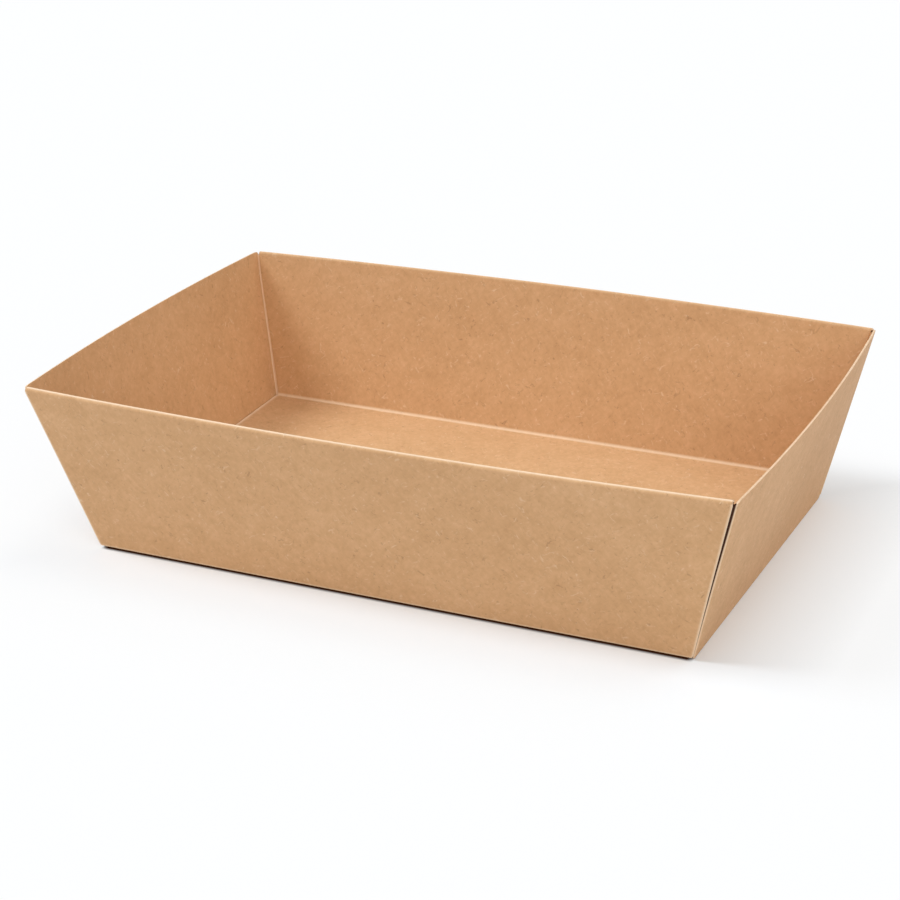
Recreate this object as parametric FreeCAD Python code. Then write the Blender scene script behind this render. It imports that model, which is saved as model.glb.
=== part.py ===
"""Open tray folded from one sheet of kraft board, in millimetres, standing on its base.

The origin lies in the middle of the footprint, on the table, with +X along the tray and +Z up.
The short walls are one ply. Each folds back under itself at the table into a low strip that
carries the floor, so the floor stands above the table. The long walls are folded over at the rim:
an inner ply, the end tabs of the short walls, and an outer panel that covers the tabs.
"""
import FreeCAD
import Part
import os
from math import asin, atan2, cos, degrees, sqrt
from FreeCAD import Vector

# Driving sizes
top_length = 180.0        # rim, corner to corner along the tray
top_width = 117.0         # rim, corner to corner across the tray
base_length = 158.0       # footprint along the tray
base_width = 97.0         # footprint across the tray
height = 45.0
floor_height = 5.6        # upper face of the floor above the table
board = 0.45              # thickness of the sheet
long_bow = 3.2            # how far the middle of a long rim springs outwards
short_bow = 2.4           # how far the middle of a short rim springs outwards

# Clearances and folds
tab_clearance = 0.05      # play of a tab inside a long wall
tab_length = 15.0         # reach of a tab from the corner into a long wall
panel_gap_top = 1.00      # panel edge to corner of the tray at the rim
panel_gap_base = 0.45     # the same at the table
inner_gap = 0.85          # inner ply to the face of a short wall
panel_lift = 0.70         # lower edge of an outer panel above the table
foot_length = 1.2         # part of the corner that does reach the table
panel_corner = 1.3        # rounded upper corners of the long walls
wall_corner = 0.8         # rounded upper corners of the short walls
fold_radius = 0.40        # rounding of the folds in a single ply
reach = 2.0               # how far a cutting block stands clear of the tray

long_rise = atan2((top_width - base_width) / 2, height)
short_rise = atan2((top_length - base_length) / 2, height)
long_ply = board / cos(long_rise)          # ply thickness measured level, across a long wall
short_ply = board / cos(short_rise)        # the same across a short wall
long_wall = 3 * long_ply + tab_clearance   # inner ply, tab and outer panel together
floor_under = floor_height - board
X, Y = Vector(1, 0, 0), Vector(0, 1, 0)


def half_length(z):
    return (base_length + (top_length - base_length) * z / height) / 2


def half_width(z):
    return (base_width + (top_width - base_width) * z / height) / 2


def bowed(half_chord, ends, bow, inset):
    """Three points of a line that bows by the given amount, pushed inwards by inset."""
    if bow == 0:
        return [(-half_chord, ends - inset), (0, ends - inset), (half_chord, ends - inset)]
    radius = (half_chord**2 + bow**2) / (2 * bow)
    centre = ends + bow - radius
    corner = centre + sqrt((radius - inset)**2 - half_chord**2)
    return [(-half_chord, corner), (0, centre + radius - inset), (half_chord, corner)]


def along(z, inset):
    """One line of a long wall at height z, on the +Y side."""
    return [Vector(x, y, z) for x, y in bowed(half_length(z), half_width(z), long_bow * z / height, inset)]


def across(z, inset):
    """One line of a short wall at height z, on the +X side."""
    return [Vector(x, y, z) for y, x in bowed(half_width(z), half_length(z), short_bow * z / height, inset)]


def section(line, z, outer, inner):
    """The level cut through one wall between two insets."""
    first, second = line(z, outer), line(z, inner)[::-1]
    wire = []
    for start, middle, end in (first, second):
        straight = (middle - start).cross(end - start).Length < 1e-9
        wire.append(Part.makeLine(start, end) if straight else Part.Arc(start, middle, end).toShape())
    wire.insert(1, Part.makeLine(first[2], second[0]))
    wire.append(Part.makeLine(second[2], first[0]))
    return Part.Wire(wire)


def ply(line, outer, inner, top=None):
    """The slab between two insets of one wall, ruled from the straight foot to the bowed rim."""
    return Part.makeLoft([section(line, z, outer, inner) for z in (0.0, top or height)], True, True)


def block(low, high, z_low, z_high):
    """A block whose four sides lean with the walls: low and high give x0, x1, y0, y1 at two heights."""
    wires = []
    for (x0, x1, y0, y1), z in ((low, z_low), (high, z_high)):
        wires.append(Part.makePolygon([Vector(x0, y0, z), Vector(x1, y0, z), Vector(x1, y1, z),
                                       Vector(x0, y1, z), Vector(x0, y0, z)]))
    return Part.makeLoft(wires, True, True)


def leaning(sides, z_low, z_high):
    return block(sides(z_low), sides(z_high), z_low, z_high)


def rounding(end, radius):
    """What a rounded upper corner at x = end leaves off a long wall."""
    corner = Part.makeBox(radius + reach, 8 * reach, radius + reach,
                          Vector(end - radius, top_width / 2 - 4 * reach, height - radius))
    return corner.cut(Part.makeCylinder(radius, 10 * reach, Vector(end - radius, top_width / 2 - 5 * reach,
                                                                  height - radius), Vector(0, 1, 0)))


def mirrored(shape, axis):
    return shape.mirror(Vector(0, 0, 0), axis)


# One long wall on the +Y side, folded over at the rim
shoulder = height - long_wall / 2
wall = ply(along, 0.0, long_wall, shoulder)
outer_line, inner_line = along(shoulder, 0.0), along(shoulder, long_wall)
crest = (outer_line[1] + inner_line[1]) / 2 + Vector(0, 0, long_wall / 2)
roll = Part.Face(Part.Wire([Part.Arc(outer_line[1], crest, inner_line[1]).toShape(),
                            Part.makeLine(inner_line[1], outer_line[1])]))
sagitta = long_bow * shoulder / height
rim_radius = (half_length(shoulder)**2 + sagitta**2) / (2 * sagitta)
sweep = degrees(asin(half_length(shoulder) / rim_radius))
axis_point = outer_line[1] - Vector(0, rim_radius, 0)
roll.rotate(axis_point, Vector(0, 0, 1), sweep)
wall = wall.fuse(roll.revolve(axis_point, Vector(0, 0, 1), -2 * sweep))

# The space between its two plies, open below, and the inner ply cut off under the floor
middle = ply(along, long_ply, long_wall - long_ply)
middle = middle.common(leaning(lambda z: (-half_length(z) + tab_length, half_length(z) - tab_length,
                                          0, half_width(z) + 3 * reach), -reach, height - 1.4 * board))
wall = wall.cut(middle)
under_floor = leaning(lambda z: (-half_length(z) + tab_length, half_length(z) - tab_length,
                                 half_width(z) - long_wall - reach, half_width(z) - long_ply),
                      -reach, floor_under)
under_tabs = leaning(lambda z: (-half_length(z) + 2 * short_ply, half_length(z) - 2 * short_ply,
                                half_width(z) - long_wall - reach, half_width(z) - long_wall + long_ply),
                     -reach, floor_under)
lift = leaning(lambda z: (-half_length(z) + foot_length, half_length(z) - foot_length,
                          half_width(z) - long_wall - reach, half_width(z) + reach), -reach, panel_lift)
wall = wall.cut(under_floor).cut(under_tabs).cut(lift)


def panel_gap(z):
    return panel_gap_base + (panel_gap_top - panel_gap_base) * z / height


# At each end: the panel stops short of the corner, the inner ply stops short of the short wall
end_x = half_length(height) - panel_gap_top
cuts = [
    leaning(lambda z: (half_length(z) - panel_gap(z), half_length(z) + reach,
                       half_width(z) - long_ply, half_width(z) + reach), -reach, height + reach),
    leaning(lambda z: (half_length(z) - short_ply - inner_gap, half_length(z) + reach,
                       half_width(z) - long_wall - reach, half_width(z) - long_wall + long_ply),
            -reach, height + reach),
    rounding(end_x, panel_corner),
]
for cutter in cuts:
    wall = wall.cut(cutter).cut(mirrored(cutter, X))

# One short wall on the +X side: one ply that ends behind the outer panels, and its strip
side = ply(across, 0.0, short_ply)
side = side.common(leaning(lambda z: (0, half_length(z) + 3 * reach, -half_width(z) + long_ply,
                                      half_width(z) - long_ply), 0, height))
side_end = top_width / 2 - long_ply
turned = rounding(side_end, wall_corner)
turned.rotate(Vector(0, 0, 0), Vector(0, 0, 1), 90)
turned.translate(Vector(top_width / 2 + top_length / 2, 0, 0))
side = side.cut(turned).cut(mirrored(turned, Y))
outer_folds = [e for e in side.Edges if e.BoundBox.ZLength > height / 2
               and e.CenterOfMass.x > (half_length(height / 2) - short_ply / 2)]
side = side.makeFillet(fold_radius, outer_folds)
strip = ply(across, short_ply / 2, 2 * short_ply)
strip = strip.common(leaning(lambda z: (0, half_length(z) + reach, -half_width(z) + long_ply + board,
                                        half_width(z) - long_ply - board), 0, floor_height - board / 2))

# The floor, reaching halfway into the plies it is folded from
floor = leaning(lambda z: (-half_length(z) + short_ply / 2, half_length(z) - short_ply / 2,
                           -half_width(z) + long_wall - long_ply / 2, half_width(z) - long_wall + long_ply / 2),
                floor_under, floor_height)

pieces = [wall, mirrored(wall, Y), floor, side, mirrored(side, X), strip, mirrored(strip, X)]
tray = pieces[0].multiFuse(pieces[1:]).removeSplitter()

os.makedirs("parts", exist_ok=True)
print("solids", len(tray.Solids), "valid", tray.isValid(), "volume", round(tray.Volume, 1),
      "box", [round(v, 3) for v in (tray.BoundBox.XLength, tray.BoundBox.YLength, tray.BoundBox.ZLength)])
tray.exportStep("parts/tray.step")
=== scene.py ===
"""An open tray folded from one sheet of kraft carton board, on a white table."""
import bmesh
import bpy
from math import atan2, cos, pi, radians, sin, sqrt
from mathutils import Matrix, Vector, noise


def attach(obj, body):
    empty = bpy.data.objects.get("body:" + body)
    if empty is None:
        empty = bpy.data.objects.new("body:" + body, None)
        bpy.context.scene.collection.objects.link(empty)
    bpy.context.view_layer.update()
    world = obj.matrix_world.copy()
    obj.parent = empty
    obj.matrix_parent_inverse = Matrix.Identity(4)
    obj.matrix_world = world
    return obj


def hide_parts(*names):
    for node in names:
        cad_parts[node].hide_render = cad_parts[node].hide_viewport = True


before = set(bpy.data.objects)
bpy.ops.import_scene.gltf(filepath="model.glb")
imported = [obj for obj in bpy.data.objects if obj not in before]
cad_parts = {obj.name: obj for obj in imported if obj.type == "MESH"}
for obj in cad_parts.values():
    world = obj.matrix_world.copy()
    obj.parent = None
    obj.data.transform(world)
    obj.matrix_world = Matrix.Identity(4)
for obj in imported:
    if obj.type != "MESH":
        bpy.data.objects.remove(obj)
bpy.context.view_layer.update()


# The sheet. One die-cut blank of kraft carton board, 0.45 mm thick, is creased and folded up into the
# tray. It is drawn as the middle surface of the board, panel by panel with its real bends, and is
# given its thickness at the end. Lengths are in metres and MM is one millimetre.
MM = 0.001
BOARD = 0.45 * MM
HEIGHT = 45.0 * MM
BASE_HALF_LENGTH, RIM_HALF_LENGTH = 79.0 * MM, 90.0 * MM
BASE_HALF_WIDTH, RIM_HALF_WIDTH = 48.5 * MM, 58.5 * MM


def half_length(z):
    return BASE_HALF_LENGTH + (RIM_HALF_LENGTH - BASE_HALF_LENGTH) * z / HEIGHT


def half_width(z):
    return BASE_HALF_WIDTH + (RIM_HALF_WIDTH - BASE_HALF_WIDTH) * z / HEIGHT


class Sheet:
    """Quads of the middle surface, with the place of each corner on the flat blank."""

    def __init__(self):
        self.points, self.blank, self.crease, self.tucked, self.faces = [], [], [], [], []

    def patch(self, rows):
        """Adds equally long rows of (point, place on the blank, crease from 0 to 1, depth in a joint). The
        crease is a lightening, partly stretched fibre and partly painted highlight; the depth sets a painted
        shade.
        """
        start, wide = len(self.points), len(rows[0])
        for point, place, crease, tucked in (entry for row in rows for entry in row):
            self.points.append(point)
            self.blank.append(place)
            self.crease.append(crease)
            self.tucked.append(tucked)
        for r in range(len(rows) - 1):
            for c in range(wide - 1):
                i = start + r * wide + c
                self.faces.append((i, i + 1, i + wide + 1, i + wide))


sheet = Sheet()


# The floor and the two long walls. They are one band across the tray: the floor is creased up into
# the inner ply, which is rolled over at the rim and comes down outside as the panel that covers the
# corner tabs. The panel's side edges are cut, with rounded corners, and stop short of the corner.
PLAY = 0.05 * MM
FLOOR_TOP = 5.6 * MM
FLOOR_Z = FLOOR_TOP - BOARD / 2
LONG_LEAN = atan2(RIM_HALF_WIDTH - BASE_HALF_WIDTH, HEIGHT)
LONG_PLY = BOARD / cos(LONG_LEAN)
FOLD_RADIUS = 1.2 * MM
ROLL_RADIUS = (2 * LONG_PLY + PLAY) * cos(LONG_LEAN) / 2
ROLL_CLEARANCE = 0.003 * MM
PANEL_FOOT = 0.7 * MM
PANEL_CORNER, PLY_CORNER, FOOT_CORNER = 1.4 * MM, 0.3 * MM, 0.5 * MM
GAP_BASE, GAP_RIM = 0.16 * MM, 0.60 * MM
INSIDE_GAP_BASE, INSIDE_GAP_RIM = 1.15 * MM, 0.60 * MM
ASKEW = 0.36 * MM
STAND_OFF, STAND_OFF_REACH = 0.30 * MM, 7.0 * MM
LONG_BOW, LONG_SEED = 3.2 * MM, 3.0
UNEVEN, UNEVEN_LOSS = 0.10, 0.03
UNEVEN_LENGTH, UNEVEN_HEIGHT = 70 * MM, 40 * MM

# How much lighter a fold or a cut edge is painted, from 0 to 1, and how far from it: partly stretched or
# pressed fibres, partly a painted highlight where light would catch the bend or the edge
FOLD_CREASE_AND_HIGHLIGHT = 0.5
ROLL_PAINTED_HIGHLIGHT, ROLL_SHARPNESS = 0.9, 12
FOOT_PAINTED_HIGHLIGHT, FOOT_HIGHLIGHT_SHARE = 0.45, 0.012
PRESSED_AND_PAINTED_HIGHLIGHT, EDGE_BAND, FLOOR_BAND, FLOOR_BAND_RISE = 0.75, 0.6 * MM, 1.0 * MM, 0.1 * MM

# The rows and columns of quads lie closer together at the folds and the cut edges
FLOOR_STEPS, FOLD_STEPS, ROLL_STEPS = 16, 6, 12
PLY_SHARES = [0.004, 0.02, 0.05, 0.1, 0.2, 0.32, 0.44, 0.56, 0.68, 0.8,
              0.9, 0.955, 0.975, 0.985, 0.995, 1.0]
PANEL_SHARES = [0.0, 0.002, 0.005, 0.009, 0.015, 0.03, 0.06, 0.12, 0.2, 0.3,
                0.4, 0.5, 0.6, 0.7, 0.8, 0.9, 0.95, 0.97, 0.985]
MM_FROM_END, MM_TO_MIDDLE = [0.0, 0.12, 0.3, 0.6, 1.0, 1.7, 2.8, 4.5, 7.0], 85
EVEN_PART, EVEN_COLUMNS = 0.9, 84


def steps(low, high, count):
    """count + 1 even steps from low to high."""
    return [low + (high - low) * i / count for i in range(count + 1)]


def bend(centre, radius, start, end, count):
    """Points of an arc in the plane of a fold, from its start to its end."""
    return [(centre[0] + radius * cos(a), centre[1] + radius * sin(a)) for a in steps(start, end, count)]


def between(low, high, share):
    return low + (high - low) * share


def rounding(depth, radius):
    """How far a rounded corner pulls an edge back, at a depth from the corner."""
    short = max(0.0, radius - depth)
    return radius - sqrt(max(0.0, radius ** 2 - short ** 2))


def unevenness(x, z, seed):
    """Board never springs quite evenly: a slow change of the bow, as a share of it."""
    return UNEVEN * noise.noise(Vector((x / UNEVEN_LENGTH, z / UNEVEN_HEIGHT, seed))) - UNEVEN_LOSS


def long_wall_bow(x, z, share, side):
    span = 1 - (x / half_length(z)) ** 2
    return LONG_BOW * share * span * (1 + unevenness(x, z, LONG_SEED * side))


def stand_off(x, z):
    """Near a corner the tab with its fold is thicker than one ply and holds the wall's plies apart."""
    near = max(0.0, 1 - (half_length(z) - abs(x)) / STAND_OFF_REACH)
    rise = min(1.0, max(0.0, (z - FLOOR_Z) / (HEIGHT - FLOOR_Z)))
    return STAND_OFF * near ** 2 * (3 - 2 * near) * sin(pi * rise ** 3)


def inner_ply(z):
    """The middle of the inner ply: the outer panel and the tab lie outside it."""
    return half_width(z) - 2.5 * LONG_PLY - PLAY


def outer_panel(z):
    return half_width(z) - 0.5 * LONG_PLY


fold_top = FLOOR_Z + FOLD_RADIUS * (1 - sin(LONG_LEAN))
floor_half_width = inner_ply(fold_top) - FOLD_RADIUS * cos(LONG_LEAN)
roll_z = HEIGHT - BOARD / 2 - ROLL_RADIUS - ROLL_CLEARANCE
roll_y = half_width(roll_z) - 1.5 * LONG_PLY - PLAY / 2
roll = bend((roll_y, roll_z), ROLL_RADIUS, pi - LONG_LEAN, -LONG_LEAN, ROLL_STEPS)

# The floor ends at the crease into the strip under a short wall
SHORT_LEAN = atan2(RIM_HALF_LENGTH - BASE_HALF_LENGTH, HEIGHT)
SHORT_PLY = BOARD / cos(SHORT_LEAN)
STRIP_BEND = 0.15 * MM


def strip_line(z):
    return half_length(z) - 1.5 * SHORT_PLY - PLAY


strip_top = FLOOR_Z - STRIP_BEND * (1 + sin(SHORT_LEAN))
floor_half_length = strip_line(strip_top) - STRIP_BEND * cos(SHORT_LEAN)


def inner_end(z):
    gap = between(INSIDE_GAP_BASE, INSIDE_GAP_RIM, z / HEIGHT)
    return half_length(z) - SHORT_PLY - gap - rounding(HEIGHT - z, PLY_CORNER)


def panel_end(z):
    gap = between(GAP_BASE, GAP_RIM, z / HEIGHT)
    corners = rounding(HEIGHT - z, PANEL_CORNER) + rounding(z - PANEL_FOOT, FOOT_CORNER)
    return half_length(z) - gap - corners


# The path of one half of the band, from the middle of the floor to the foot of the panel. Each entry
# is y, z, half length of the row, share of the bow, crease (a lightening that is partly painted highlight),
# and from 0 inside to 1 outside.
half_path = []
for y in steps(0.0, floor_half_width, FLOOR_STEPS):
    half_path.append((y, FLOOR_Z, floor_half_length, 0.0, 0.0, 0.0))
fold = bend((floor_half_width, FLOOR_Z + FOLD_RADIUS), FOLD_RADIUS, -pi / 2, -LONG_LEAN, FOLD_STEPS)
for i, (y, z) in enumerate(fold[1:], 1):
    end = between(floor_half_length, inner_end(z), i / FOLD_STEPS)
    # The fold up from the floor is painted lighter: partly its stretched fibres, partly a painted highlight
    # on the bend.
    half_path.append((y, z, end, 0.0, FOLD_CREASE_AND_HIGHLIGHT * sin(pi * i / FOLD_STEPS), 0.0))
for share in PLY_SHARES:
    z = between(fold_top, roll[0][1], share)
    half_path.append((inner_ply(z), z, inner_end(z), share, 0.0, 0.0))
for i, (y, z) in enumerate(roll[1:], 1):
    end = between(inner_end(z), panel_end(z), i / ROLL_STEPS)
    # The crest of the roll is painted lighter: a painted highlight along the top of the rim.
    crease = ROLL_PAINTED_HIGHLIGHT * sin(pi * i / ROLL_STEPS) ** ROLL_SHARPNESS
    half_path.append((y, z, end, 1.0, crease, i / ROLL_STEPS))
for share in reversed(PANEL_SHARES):
    z = between(PANEL_FOOT, roll[-1][1], share)
    # A thin painted highlight along the panel's foot.
    crease = FOOT_PAINTED_HIGHLIGHT * max(0.0, 1 - share / FOOT_HIGHLIGHT_SHARE)
    half_path.append((outer_panel(z), z, panel_end(z), z / HEIGHT, crease, 1.0))

end_shares = [1.0 - place / MM_TO_MIDDLE for place in MM_FROM_END]
columns = [-share for share in end_shares]
columns += steps(-EVEN_PART, EVEN_PART, EVEN_COLUMNS)[1:-1]
columns += end_shares[::-1]


def band_row(entry, distance, side):
    """One row of the band along the tray; side is -1 at the front and 1 at the back.

    The outer panels came down a little askew, the front one to the left and the back one to the right.
    """
    y, z, end, share, crease, outside = entry
    band = 0.0
    if outside == 1.0:
        band = EDGE_BAND
    elif z < FLOOR_Z + FLOOR_BAND_RISE:
        band = FLOOR_BAND
    row = []
    for x in [end * column for column in columns]:
        across = y + long_wall_bow(x, z, share, side) - stand_off(x, z) * (1 - outside)
        # The panel's cut side edges and the floor's ends are painted lighter: partly pressed fibres, partly a
        # painted highlight.
        band_highlight = PRESSED_AND_PAINTED_HIGHLIGHT * max(0.0, 1 - (end - abs(x)) / band) if band else 0.0
        slip = side * ASKEW * outside * (1 + z / HEIGHT) / 2
        row.append((Vector((x + slip, side * across, z)), (x, side * distance), max(crease, band_highlight), 0.0))
    return row


distances = [0.0]
for a, b in zip(half_path, half_path[1:]):
    distances.append(distances[-1] + sqrt((b[0] - a[0]) ** 2 + (b[1] - a[1]) ** 2))
front = [band_row(entry, distance, -1) for entry, distance in zip(half_path, distances)]
back = [band_row(entry, distance, 1) for entry, distance in zip(half_path, distances)]
sheet.patch(front[:0:-1] + back)


# The two short walls. The floor is creased down at its ends into a low strip, the strip turns back
# up at the table, and the wall rises from there as one ply to a cut rim. Round each corner the wall
# goes on as a tab that is tucked between the two plies of the long wall.
HEM_RADIUS = (SHORT_PLY + PLAY) * cos(SHORT_LEAN) / 2
TABLE_CLEARANCE = 0.005 * MM
SHORT_BOW, SHORT_SEED = 2.4 * MM, 11.0
CORNER_BEND, FOLD_LINE = 0.32 * MM, radians(60)
RIM_BELOW_ROLL = 0.095 * MM
RIM_Z = HEIGHT - RIM_BELOW_ROLL
RIM_DIP, RIM_DIP_REACH = 0.25 * MM, 1.2 * MM
WALL_CORNER, WALL_CORNER_POWER = 0.6 * MM, 1.5
TAB_LENGTH = 15.0 * MM
TAB_DROP, TAB_DROP_REACH, TAB_TOP_TAPER = 0.4 * MM, 0.8 * MM, 0.12
TAB_FOOT_RISE, TAB_FOOT_RUN, TAB_FOOT_TAPER = 1.0 * MM, 1.5, 0.25
# The corner's bend and the start of its tab are painted lighter: partly the fold's stretched fibres, partly a
# painted highlight along the corner.
BEND_PAINTED_HIGHLIGHT, BEND_END_HIGHLIGHT = 0.4, 0.55
TAB_CREASE_AND_HIGHLIGHT, TAB_HIGHLIGHT_REACH = 0.95, 1.6 * MM
STRIP_STEPS, STRIP_HIGHLIGHT_STEPS, HEM_STEPS = 6, 8, 10
FLAT_COLUMNS, BEND_COLUMNS, TAB_COLUMNS = 2 * 16, 10, 16
CORNER_SHARES = [0.985, 0.992, 0.996]
RISES = [0.0, 0.006, 0.02, 0.06, 0.12, 0.2, 0.28, 0.36, 0.44, 0.52,
         0.6, 0.68, 0.76, 0.84, 0.9, 0.95, 0.975, 0.99, 1.0]


def wall_line(z):
    return half_length(z) - 0.5 * SHORT_PLY


def tab_line(z):
    return half_width(z) - 1.5 * LONG_PLY - PLAY / 2


def wall_half_width(z):
    return tab_line(z) - stand_off(half_length(z), z) - CORNER_BEND


# The path of the low part. Each entry is x, z, from 0 at the floor's width to 1 at the wall's, crease (a
# lightening at the floor's end that is partly painted highlight).
hem_z = HEM_RADIUS + BOARD / 2 + TABLE_CLEARANCE
hem_x = half_length(hem_z) - SHORT_PLY - PLAY / 2
strip = bend((floor_half_length, FLOOR_Z - STRIP_BEND), STRIP_BEND, pi / 2, -SHORT_LEAN, STRIP_STEPS)
hem = bend((hem_x, hem_z), HEM_RADIUS, pi - SHORT_LEAN, 2 * pi - SHORT_LEAN, HEM_STEPS)
low_path = [(x, z, 0.0, PRESSED_AND_PAINTED_HIGHLIGHT * (1 - i / STRIP_HIGHLIGHT_STEPS)) for i, (x, z) in enumerate(strip)]
for share in (0.25, 0.5, 0.75):
    x, z = between(strip[-1][0], hem[0][0], share), between(strip[-1][1], hem[0][1], share)
    low_path.append((x, z, 0.0, 0.0))
low_path += [(x, z, i / HEM_STEPS, 0.0) for i, (x, z) in enumerate(hem)]
wall_foot = hem[-1][1]

flat_shares = [-1.0] + [-share for share in reversed(CORNER_SHARES)]
flat_shares += steps(-1.0, 1.0, FLAT_COLUMNS)[1:-1]
flat_shares += CORNER_SHARES + [1.0]


def short_wall_bow(y, z, side):
    span = 1 - (y / half_width(z)) ** 2
    share = (z - wall_foot) / (HEIGHT - wall_foot)
    return SHORT_BOW * share * span * (1 + unevenness(y, z, SHORT_SEED + side))


def low_rows(side):
    """The crease at the floor's end, the strip and the turn at the table."""
    rows, distance, last = [], floor_half_length, low_path[0]
    for entry in low_path:
        x, z, share, crease = entry
        distance += sqrt((x - last[0]) ** 2 + (z - last[1]) ** 2)
        last = entry
        end = between(floor_half_width, wall_half_width(z), share)
        rows.append([(Vector((side * x, end * s, z)), (side * distance, end * s), crease, 0.0)
                     for s in flat_shares])
    return rows, distance


def wall_column(kind, share, rise, side, end):
    """A point of the wall, its place along the wall, its crease lightening, partly painted highlight, and its
    depth in the joint, which sets a painted shade.

    kind is flat, bend or tab, share its place there, and rise goes from foot to rim. side is -1 for the
    left wall and 1 for the right one; end is -1 for its front end and 1 for its back end.
    """
    if kind == "flat":
        near = max(0.0, 1 - (1 - share) * half_width(HEIGHT) / RIM_DIP_REACH)
        foot, top = wall_foot, RIM_Z - RIM_DIP * near ** 2
    elif kind == "bend":
        foot, top = wall_foot, RIM_Z - RIM_DIP - WALL_CORNER * share ** WALL_CORNER_POWER
    else:
        reach = share * TAB_LENGTH
        foot = wall_foot + min(reach / TAB_FOOT_RUN, TAB_FOOT_RISE) + TAB_FOOT_TAPER * reach
        drop = TAB_DROP * min(1.0, reach / TAB_DROP_REACH)
        top = RIM_Z - RIM_DIP - WALL_CORNER - drop - TAB_TOP_TAPER * reach
    z = between(foot, top, rise)
    x, y = wall_line(z), wall_half_width(z)
    if kind == "flat":
        y *= share
        x += short_wall_bow(y, z, side)
        return Vector((side * x, end * y, z)), y, 0.0, 0.0
    turn = pi / 2 * (share if kind == "bend" else 1.0)
    x += CORNER_BEND * (cos(turn) - 1)
    run = y + CORNER_BEND * turn
    y += CORNER_BEND * sin(turn)
    if kind == "bend":
        second_half = max(0.0, turn - pi / 4) / (pi / 4)
        crease = BEND_PAINTED_HIGHLIGHT * sin(min(turn, pi / 4) * 2) + BEND_END_HIGHLIGHT * second_half
        return Vector((side * x, end * y, z)), run, crease, max(0.0, turn - FOLD_LINE) * CORNER_BEND
    x -= reach
    y = tab_line(z) + long_wall_bow(x, z, z / HEIGHT, end) - stand_off(x, z)
    crease = TAB_CREASE_AND_HIGHLIGHT * max(0.0, 1 - reach / TAB_HIGHLIGHT_REACH)
    return Vector((side * x, end * y, z)), run + reach, crease, CORNER_BEND * (pi / 2 - FOLD_LINE) + reach


around = [("tab", share ** 2) for share in steps(1.0, 0.0, TAB_COLUMNS)[:-1]]
around += [("bend", share) for share in steps(1.0, 0.0, BEND_COLUMNS)[:-1]]
places = [(kind, share, -1) for kind, share in around]
places += [("flat", abs(share), -1 if share < 0 else 1) for share in flat_shares]
places += [(kind, share, 1) for kind, share in reversed(around)]
for side in (-1, 1):
    rows, distance = low_rows(side)
    sheet.patch(rows)
    wall = []
    for rise in RISES:
        up_the_wall = distance + rise * (HEIGHT - wall_foot) / cos(SHORT_LEAN)
        row = []
        for kind, share, end in places:
            point, run, crease, tucked = wall_column(kind, share, rise, side, end)
            row.append((point, (side * up_the_wall, end * run), crease, tucked))
        wall.append(row)
    sheet.patch(wall)


# The folded blank as one closed piece. The panels are joined where they meet, the board gets its
# thickness and its cut edges are softened, as a die leaves them. The blank was folded slightly out of
# square, so the base is longer at the back than in front.
SPLAY = 1.4 * MM
UNIT_MM = 100
JOINED_WITHIN = 0.02 * MM
CUT_SOFTNESS, CUT_ANGLE, SHARP_ANGLE = 0.12 * MM, radians(60), radians(50)
CUT_EDGE, UNDER_SIDE = 1, 2


def splayed(point):
    """Where the fold out of square takes a point: most at the base's corners, not at all at the rim."""
    x, y, z = point
    return Vector((x + SPLAY * x * y / (RIM_HALF_LENGTH * RIM_HALF_WIDTH) * (1 - z / HEIGHT), y, z))


def finished(name, made):
    """An object from the sheet's quads, with the blank as its UV map, and the crease lightening and joint
    depths, which paint highlight and shade, kept as attributes.

    Its faces look out of the board's top side: up on the floor, inwards on the walls.
    """
    mesh = bpy.data.meshes.new(name)
    mesh.from_pydata([splayed(point) for point in made.points], [], made.faces)
    blank = mesh.uv_layers.new(name="blank")
    for loop in mesh.loops:
        blank.uv[loop.index].vector = [v / (UNIT_MM * MM) for v in made.blank[loop.vertex_index]]
    for label, values in (("crease", made.crease), ("tucked", made.tucked)):
        mesh.attributes.new(label, "FLOAT", "POINT").data.foreach_set("value", values)
    shell = bmesh.new()
    shell.from_mesh(mesh)
    bmesh.ops.remove_doubles(shell, verts=shell.verts, dist=JOINED_WITHIN)
    bmesh.ops.recalc_face_normals(shell, faces=shell.faces)
    if min(shell.faces, key=lambda face: face.calc_center_median().length).normal.z < 0:
        bmesh.ops.reverse_faces(shell, faces=shell.faces)
    shell.to_mesh(mesh)
    shell.free()
    piece = bpy.data.objects.new(name, mesh)
    bpy.context.scene.collection.objects.link(piece)
    return piece


tray = finished("folded_tray", sheet)
solidify = tray.modifiers.new("board", "SOLIDIFY")
solidify.thickness, solidify.offset, solidify.use_even_offset = BOARD, 0.0, True
solidify.material_offset_rim, solidify.material_offset = CUT_EDGE, UNDER_SIDE
soften = tray.modifiers.new("die_cut", "BEVEL")
soften.width, soften.segments = CUT_SOFTNESS, 2
soften.limit_method, soften.angle_limit = "ANGLE", CUT_ANGLE


# Kraft carton board: unbleached pulp pressed smooth and uncoated. It is matt, with cloudy formation,
# fibres lying across each other, and a few lighter and darker specks of other fibre. A real fibre is
# about 0.03 mm thick, too fine to show, so grain, fibres and flecks are drawn many times as coarse.
CLOUD_MM, FORMATION_MM, GRAIN_MM, FIBRE_MM = (26.0, 17.0), (2.8, 2.4), (0.65, 0.75), (1.7, 0.5)
PALE_FLECK_MM, BROWN_FLECK_MM = (1.1, 0.45), (0.9, 0.45)
NOISE_SCALE, NOISE_ROUGHNESS = 0.5, 0.6
TONE_SHARES, RELIEF_SHARES = (0.24, 0.26, 0.26, 0.12, 0.12), (0.3, 0.3, 0.25, 0.25)
DARK_TONE, MIDDLE_TONE, LIGHT_TONE = 0.36, 0.50, 0.64
PALE_START, PALE_FULL, PALE_STRENGTH = 0.66, 0.80, 0.5
BROWN_START, BROWN_FULL, BROWN_STRENGTH = 0.67, 0.80, 0.35
MATT_SPECULAR = 0.25


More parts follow.
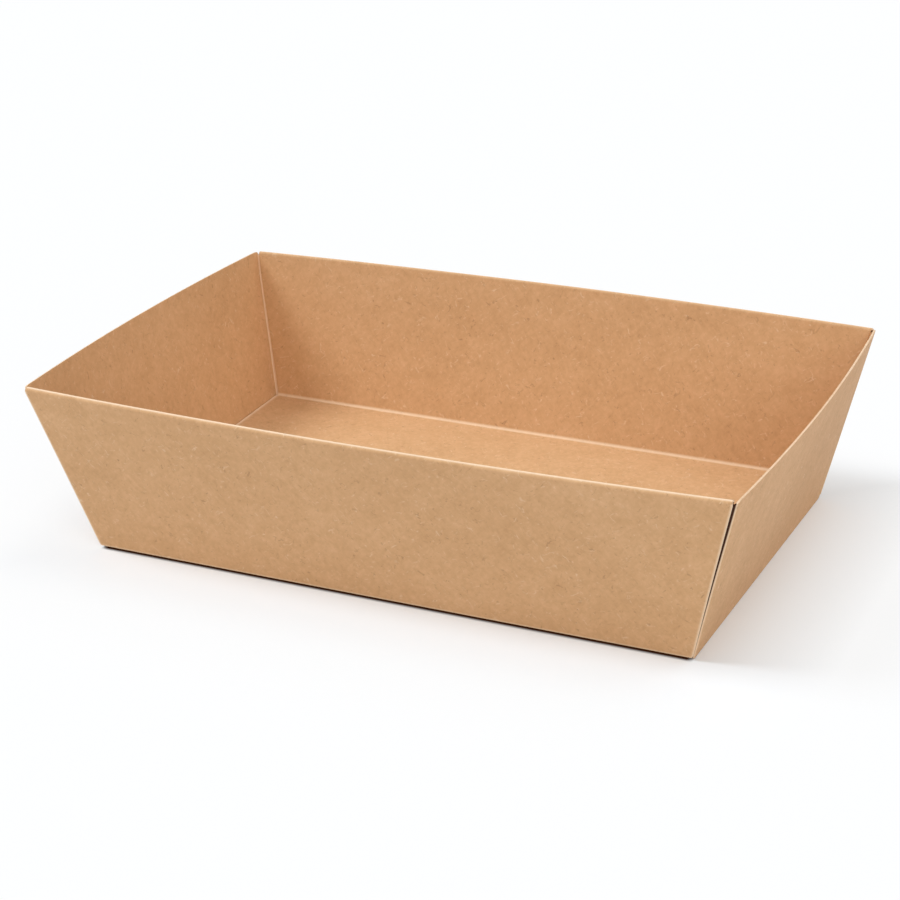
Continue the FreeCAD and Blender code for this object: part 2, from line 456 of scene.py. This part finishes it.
def linear(code):
    """An sRGB hex colour as the linear one that Blender works in."""
    parts = [int(code[i:i + 2], 16) / 255 for i in (1, 3, 5)]
    return [c / 12.92 if c <= 0.04045 else ((c + 0.055) / 1.055) ** 2.4 for c in parts] + [1.0]


def add(tree, kind, inputs=(), **settings):
    """A node with its settings.

    inputs pairs a socket's name or number with a value, a socket, or a node for its first output.
    """
    node = tree.nodes.new(kind)
    for key, value in settings.items():
        setattr(node, key, value)
    for key, value in inputs:
        source = value.outputs[0] if isinstance(value, bpy.types.Node) else value
        if isinstance(source, bpy.types.NodeSocket):
            tree.links.new(source, node.inputs[key])
        else:
            node.inputs[key].default_value = source
    return node


def board_material(name, colours, roughness, bump_depth, seed, joint):
    """colours are the middle, light, dark, pale fleck, brown fleck and crease of the board; the crease colour
    is partly the fibres' own and partly a painted highlight.

    joint gives the painted shade of a joint: the dark brown the board is painted there, and the depths
    between which it falls to that.
    """
    material = bpy.data.materials.new(name)
    material.use_nodes = True
    tree = material.node_tree
    surface = tree.nodes["Principled BSDF"]
    place = add(tree, "ShaderNodeUVMap", uv_map="blank")

    def pattern(size_mm, detail, turn=0.0, shift=0.0, curl=0.0):
        """Noise whose blots, each half a wave of it, are about as long and wide as size_mm says."""
        long_mm, wide_mm = size_mm
        blots = add(tree, "ShaderNodeMapping", [
            ("Vector", place), ("Rotation", (0.0, 0.0, turn)), ("Location", (shift, -shift, seed)),
            ("Scale", (long_mm / UNIT_MM, wide_mm / UNIT_MM, 1.0))], vector_type="TEXTURE")
        return add(tree, "ShaderNodeTexNoise", [
            ("Vector", blots), ("Scale", NOISE_SCALE), ("Detail", detail),
            ("Roughness", NOISE_ROUGHNESS), ("Distortion", curl)])

    cloud = pattern(CLOUD_MM, 3.0)
    formation = pattern(FORMATION_MM, 3.0, shift=7.0)
    grain = pattern(GRAIN_MM, 2.0, shift=3.0, curl=0.4)
    fibres = pattern(FIBRE_MM, 1.0, turn=0.8, shift=5.0, curl=1.0)
    crossing = pattern(FIBRE_MM, 1.0, turn=-0.9, shift=9.0, curl=1.0)
    tone, relief = 0.0, 0.0
    for value, amount in zip((cloud, formation, grain, fibres, crossing), TONE_SHARES):
        tone = add(tree, "ShaderNodeMath", [(0, value), (1, amount), (2, tone)], operation="MULTIPLY_ADD")
    for value, amount in zip((formation, grain, fibres, crossing), RELIEF_SHARES):
        relief = add(tree, "ShaderNodeMath", [(0, value), (1, amount), (2, relief)], operation="MULTIPLY_ADD")

    # Each layer of colour: what it follows, where it starts and is full, how strong it is then
    middle, light, dark, pale_fleck, brown_fleck, crease_highlight_colour = [linear(code) for code in colours]
    layers = [(tone, DARK_TONE, MIDDLE_TONE, 1.0, middle), (tone, MIDDLE_TONE, LIGHT_TONE, 1.0, light)]
    for turn, shift in ((0.5, 21.0), (-1.0, 41.0)):
        pale = pattern(PALE_FLECK_MM, 1.0, turn=turn, shift=shift, curl=1.2)
        brown = pattern(BROWN_FLECK_MM, 1.0, turn=-turn, shift=shift + 12.0, curl=1.2)
        layers += [(pale, PALE_START, PALE_FULL, PALE_STRENGTH, pale_fleck),
                   (brown, BROWN_START, BROWN_FULL, BROWN_STRENGTH, brown_fleck)]
    crease = add(tree, "ShaderNodeAttribute", attribute_name="crease").outputs["Fac"]
    tucked = add(tree, "ShaderNodeAttribute", attribute_name="tucked").outputs["Fac"]
    # The joint's colour is painted shade: the board turns dark brown with its depth in a joint.
    shade, shade_start, shade_full = joint
    layers += [(crease, 0.0, 1.0, 1.0, crease_highlight_colour), (tucked, shade_start, shade_full, 1.0, linear(shade))]
    colour = dark
    for value, start, full, strength, coat in layers:
        share = add(tree, "ShaderNodeMapRange", [
            ("Value", value), ("From Min", start), ("From Max", full), ("To Max", strength)])
        colour = add(tree, "ShaderNodeMix", [(0, share), (6, colour), (7, coat)], data_type="RGBA").outputs[2]
        if coat is pale_fleck:
            relief = add(tree, "ShaderNodeMath", [(0, relief), (1, share)], operation="ADD")

    bump = add(tree, "ShaderNodeBump", [("Height", relief), ("Strength", 1.0), ("Distance", bump_depth)])
    tree.links.new(colour, surface.inputs["Base Color"])
    tree.links.new(bump.outputs[0], surface.inputs["Normal"])
    surface.inputs["Roughness"].default_value = roughness
    surface.inputs["Specular IOR Level"].default_value = MATT_SPECULAR
    return material


# The under side is a shade lighter than the top side, and the cut edge is paler and rougher. Where a
# ply goes into a joint its colour is painted down to a dark brown: a painted shade, for the little light that
# follows it there.
# The last colour of each is the crease's: lighter fibre at folds and edges, and partly a painted highlight
# there.
kraft = ("#D6A97C", "#E0B488", "#CB9E71", "#EED0AC", "#8A5E36", "#FFE6C8")
under_kraft = ("#D8AC80", "#E2B78C", "#CDA175", "#F0D2B0", "#8C6039", "#FFE6C8")
# The cut edge's paleness is partly the board's own paler inside and partly a painted highlight on the cut
# rims.
cut_kraft = ("#F0D0AE", "#F7DBBD", "#E3BF98", "#FCE6CE", "#B58A60", "#F7DBBD")
inside_joint_painted_shade = ("#7A4A24", 0.80 * MM, 1.05 * MM)
outside_joint_painted_shade = ("#3C1A00", 0.0, 0.13 * MM)
edge_joint_painted_shade = ("#4A2208", 0.0, 0.08 * MM)
for material in (board_material("kraft_board_top_side", kraft, 0.65, 0.08 * MM, 0.0, inside_joint_painted_shade),
                 board_material("kraft_board_cut_edge", cut_kraft, 0.8, 0.05 * MM, 60.0, edge_joint_painted_shade),
                 board_material("kraft_board_under_side", under_kraft, 0.65, 0.08 * MM, 90.0, outside_joint_painted_shade)):
    tray.data.materials.append(material)

solid = bpy.data.meshes.new_from_object(tray.evaluated_get(bpy.context.evaluated_depsgraph_get()))
tray.modifiers.clear()
tray.data = solid
for polygon in solid.polygons:
    polygon.use_smooth = True
solid.set_sharp_from_angle(angle=SHARP_ANGLE)
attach(tray, "root")
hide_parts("tray")


# The table: a wide white sheet of paper, matt. The camera sees it as the plain white that it is lit
# to, with the tray's soft shadow; a little glow keeps that shadow pale. In the slit under each long
# panel the table shows a flat dark brown instead, a painted shade where the panel's foot hangs over it.
SIDE = 3.0
GLOW, GLOW_START, GLOW_FULL = 0.85, -3.0 * MM, 30.0 * MM

# How far beyond the base's edge the slit's painted shade starts and is full: outside, inside and at its ends
SLIT_OUTSIDE, SLIT_INSIDE, SLIT_ENDS = (1.0 * MM, -0.1 * MM), (-6.0 * MM, -4.0 * MM), (-1.0 * MM, -2.5 * MM)

floor_mesh = bpy.data.meshes.new("table_top")
table_corners = [(-SIDE, -SIDE, 0), (SIDE, -SIDE, 0), (SIDE, SIDE, 0), (-SIDE, SIDE, 0)]
floor_mesh.from_pydata(table_corners, [], [(0, 1, 2, 3)])
table_top = bpy.data.objects.new("table_top", floor_mesh)
bpy.context.scene.collection.objects.link(table_top)
white = bpy.data.materials.new("white_paper")
white.use_nodes = True
tree = white.node_tree
tree.nodes.clear()
place = add(tree, "ShaderNodeSeparateXYZ", [(0, add(tree, "ShaderNodeTexCoord").outputs["Object"])])
beyond = {}
for axis, half in (("X", BASE_HALF_LENGTH), ("Y", BASE_HALF_WIDTH)):
    distance = add(tree, "ShaderNodeMath", [(0, place.outputs[axis])], operation="ABSOLUTE")
    beyond[axis] = add(tree, "ShaderNodeMath", [(0, distance), (1, half)], operation="SUBTRACT")
outside = add(tree, "ShaderNodeMath", [(0, beyond["X"]), (1, beyond["Y"])], operation="MAXIMUM")
# Painted light: the table glows more the farther it is from the base, from nothing just inside it to most of
# its white 30 mm out, so the tray's shadow is painted paler away from the tray.
glowing = add(tree, "ShaderNodeMapRange", [
    ("Value", outside), ("From Min", GLOW_START), ("From Max", GLOW_FULL), ("To Max", GLOW)])
# The painted shade's mask: a thin strip along each long side of the base.
slit_shade_mask = 1.0
for axis, (start, full) in (("Y", SLIT_OUTSIDE), ("Y", SLIT_INSIDE), ("X", SLIT_ENDS)):
    edge = add(tree, "ShaderNodeMapRange", [("Value", beyond[axis]), ("From Min", start), ("From Max", full)])
    slit_shade_mask = add(tree, "ShaderNodeMath", [(0, slit_shade_mask), (1, edge)], operation="MULTIPLY")
matt = add(tree, "ShaderNodeBsdfDiffuse", [("Color", linear("#EDEDED"))])
paper = add(tree, "ShaderNodeBsdfDiffuse", [("Color", linear("#F5FAFF"))])
slit_painted_shade = add(tree, "ShaderNodeEmission", [("Color", linear("#33190A"))])
glow = add(tree, "ShaderNodeEmission", [("Color", linear("#FEFEFE"))])
lit = add(tree, "ShaderNodeMixShader", [(0, glowing), (1, paper), (2, glow)])
shown = add(tree, "ShaderNodeMixShader", [(0, slit_shade_mask), (1, lit), (2, slit_painted_shade)])


def seen_directly(tree):
    """1 for what the camera sees, itself or in a gloss, and 0 for what the light bounces from."""
    path = add(tree, "ShaderNodeLightPath").outputs
    direct = add(tree, "ShaderNodeMath", [(0, path["Is Camera Ray"]), (1, path["Is Glossy Ray"])],
                 operation="MAXIMUM")
    return add(tree, "ShaderNodeMath", [(0, direct), (1, path["Is Transmission Ray"])], operation="MAXIMUM")


either = add(tree, "ShaderNodeMixShader", [(0, seen_directly(tree)), (1, matt), (2, shown)])
add(tree, "ShaderNodeOutputMaterial", [("Surface", either)])
floor_mesh.materials.append(white)


# Light: an even white room, and three soft lamps. The strongest stands on the left and throws the
# shadows inside and on the table; the one at the front right reaches the inside of the left wall.
# The left lamp is a trace cooler than white and the front one a trace warmer.
world = bpy.data.worlds.new("room")
bpy.context.scene.world = world
world.use_nodes = True
tree = world.node_tree
tree.nodes.clear()
room = add(tree, "ShaderNodeBackground", [("Color", linear("#FFFFFF")), ("Strength", 0.38)])
backdrop = add(tree, "ShaderNodeBackground", [("Color", linear("#FFFFFF")), ("Strength", 0.99)])
either = add(tree, "ShaderNodeMixShader", [(0, seen_directly(tree)), (1, room), (2, backdrop)])
add(tree, "ShaderNodeOutputWorld", [("Surface", either)])


def lamp(name, side, height, spread, strength, colour):
    """A far soft lamp; side and height say where it stands, in degrees, seen from the tray."""
    light = bpy.data.lights.new(name, "SUN")
    light.angle, light.energy, light.color = radians(spread), strength, linear(colour)[:3]
    holder = bpy.data.objects.new(name, light)
    towards = Vector((cos(radians(height)) * cos(radians(side)), cos(radians(height)) * sin(radians(side)),
                      sin(radians(height))))
    holder.location = towards
    holder.rotation_euler = (-towards).to_track_quat("-Z", "Y").to_euler()
    bpy.context.scene.collection.objects.link(holder)


lamp("left_lamp", side=200, height=50, spread=22, strength=1.87, colour="#F4FAFF")
lamp("front_right_lamp", side=315, height=30, spread=40, strength=0.77, colour="#FFFAF0")
lamp("back_right_lamp", side=45, height=60, spread=40, strength=0.55, colour="#FFFFFF")


# The camera stands to the right of the front and above, a little over half a metre away. Its place,
# turn and lens are those that the photograph's outlines give.
camera = bpy.data.objects.new("camera", bpy.data.cameras.new("camera"))
camera.data.sensor_width = 36.0
camera.data.lens = 86.916
camera.location = (0.20963, -0.46059, 0.23341)
camera.rotation_euler = (radians(67.122), radians(1.026), radians(24.389))
camera.data.clip_start, camera.data.clip_end = 0.05, 20.0
bpy.context.scene.collection.objects.link(camera)
bpy.context.scene.camera = camera
bpy.context.scene.view_settings.view_transform = "Standard"
